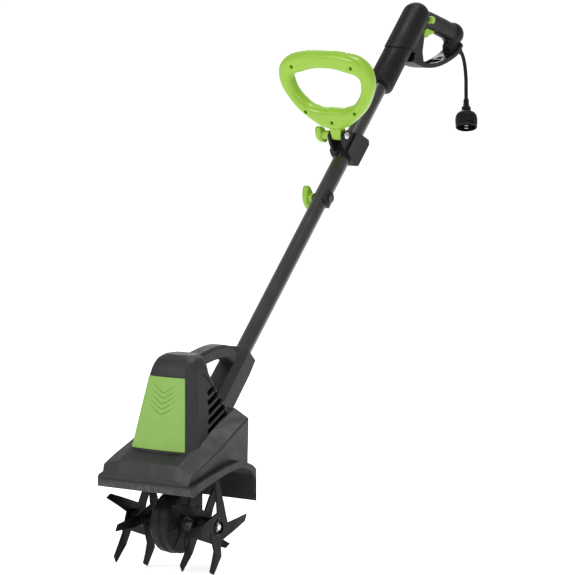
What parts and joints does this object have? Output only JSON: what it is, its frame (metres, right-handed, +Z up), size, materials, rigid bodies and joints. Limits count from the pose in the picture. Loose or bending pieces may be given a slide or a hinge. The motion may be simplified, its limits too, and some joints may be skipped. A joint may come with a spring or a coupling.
{
  "type": "mini cultivator",
  "caption": "Corded electric mini cultivator: guarded star tines on a worm gearbox and motor housing, leaning two-piece pole, tilting loop handle, D-handle with trigger, short cord and plug.",
  "frame": {"origin": "on the ground, under the middle of the machine's footprint, the hanging cord and plug left out", "axes": "+X to the machine's right along the tine axle, +Y from the tines back towards the operator's handle, +Z up; the machine's front faces -Y"},
  "size_m": [0.191, 0.9753, 0.8846],
  "materials": {
    "black_plastic": "moulded, fine grain",
    "handle_plastic": "moulded, fine grain",
    "green_plastic": "moulded, satin",
    "tine_steel": "black enamel on pressed steel",
    "pole_steel": "black powder coat",
    "bright_steel": "ground",
    "black_steel": "black oxide",
    "core_steel": "stacked laminations",
    "bronze": "machined",
    "copper": "lacquered wire and bars",
    "carbon": "pressed carbon",
    "fan_plastic": "moulded",
    "rubber": "flexible, matt"
  },
  "bodies": {
    "machine": {"axle_bush_left": "bronze", "axle_bush_right": "bronze", "axle_seal_left": "rubber", "axle_seal_right": "rubber", "brush_left": "carbon", "brush_right": "carbon", "field_coil_lower": "copper", "field_coil_upper": "copper", "foot_bush": "bronze", "front_panel": "green_plastic", "gearbox_left": "black_plastic", "gearbox_right": "black_plastic", "handle_left": "handle_plastic", "handle_right": "handle_plastic", "housing_left": "black_plastic", "housing_right": "black_plastic", "inner_lead": "rubber", "loop_bolt": "black_steel", "loop_clamp": "black_plastic", "lower_bearing": "bright_steel", "lower_tube": "pole_steel", "motor_stator": "core_steel", "plug_blade_1": "bright_steel", "plug_blade_2": "bright_steel", "plug_body": "rubber", "power_cord": "rubber", "power_switch": "fan_plastic", "strain_relief": "rubber", "trigger_pin": "bright_steel", "tube_bolt": "black_steel", "tube_saddle": "black_plastic", "upper_bearing": "bright_steel", "upper_tube": "pole_steel"},
    "tine_rotor": {"tine_axle": "bright_steel", "worm_wheel": "bronze", "tine_hub_left": "tine_steel", "tine_hub_right": "tine_steel", "tine_plate_left_a": "tine_steel", "tine_plate_left_b": "tine_steel", "tine_plate_right_a": "tine_steel", "tine_plate_right_b": "tine_steel", "axle_bolt_left": "bright_steel", "axle_bolt_right": "bright_steel"},
    "motor_rotor": {"worm_shaft": "bright_steel", "armature": "core_steel", "commutator": "copper", "cooling_fan": "fan_plastic"},
    "loop_handle": {"loop_handle_front": "green_plastic", "loop_handle_rear": "green_plastic", "loop_screw_1": "black_steel", "loop_screw_2": "black_steel", "loop_screw_3": "black_steel", "loop_screw_4": "black_steel", "loop_screw_5": "black_steel"},
    "loop_knob": {"loop_knob": "green_plastic"},
    "tube_knob": {"tube_knob": "green_plastic"},
    "trigger": {"trigger": "green_plastic"},
    "lock_button": {"lock_button": "green_plastic"}
  },
  "joints": [
    {"name": "tine_spin", "type": "hinge", "parent": "machine", "child": "tine_rotor", "pos_m": [0, -0.3921, 0.08033], "axis": [1, 0, 0], "continuous": true},
    {"name": "motor_spin", "type": "hinge", "parent": "machine", "child": "motor_rotor", "pos_m": [0, -0.3611, 0.08033], "axis": [0, 0, 1], "continuous": true},
    {"name": "loop_tilt", "type": "hinge", "parent": "machine", "child": "loop_handle", "pos_m": [0, 0.07812, 0.66746], "axis": [1, 0, 0], "range_deg": [-35, 35]},
    {"name": "loop_knob_turn", "type": "hinge", "parent": "machine", "child": "loop_knob", "pos_m": [0, 0.07812, 0.66746], "axis": [1, 0, 0], "continuous": true},
    {"name": "tube_knob_turn", "type": "hinge", "parent": "machine", "child": "tube_knob", "pos_m": [0, 0.0258, 0.56423], "axis": [1, 0, 0], "continuous": true},
    {"name": "trigger_pull", "type": "hinge", "parent": "machine", "child": "trigger", "pos_m": [0, 0.37582, 0.83505], "axis": [-1, 0, 0], "range_deg": [0, 4], "stiffness_Nm_per_rad": 2, "springref_deg": -5.73},
    {"name": "lock_press", "type": "slide", "parent": "machine", "child": "lock_button", "axis": [-1, 0, 0], "range_m": [0, 0.0035], "stiffness_N_per_m": 400, "springref_m": -0.003}
  ],
  "couplings": [
    {"joint": "motor_spin", "follows": "tine_spin", "ratio": -40}
  ]
}
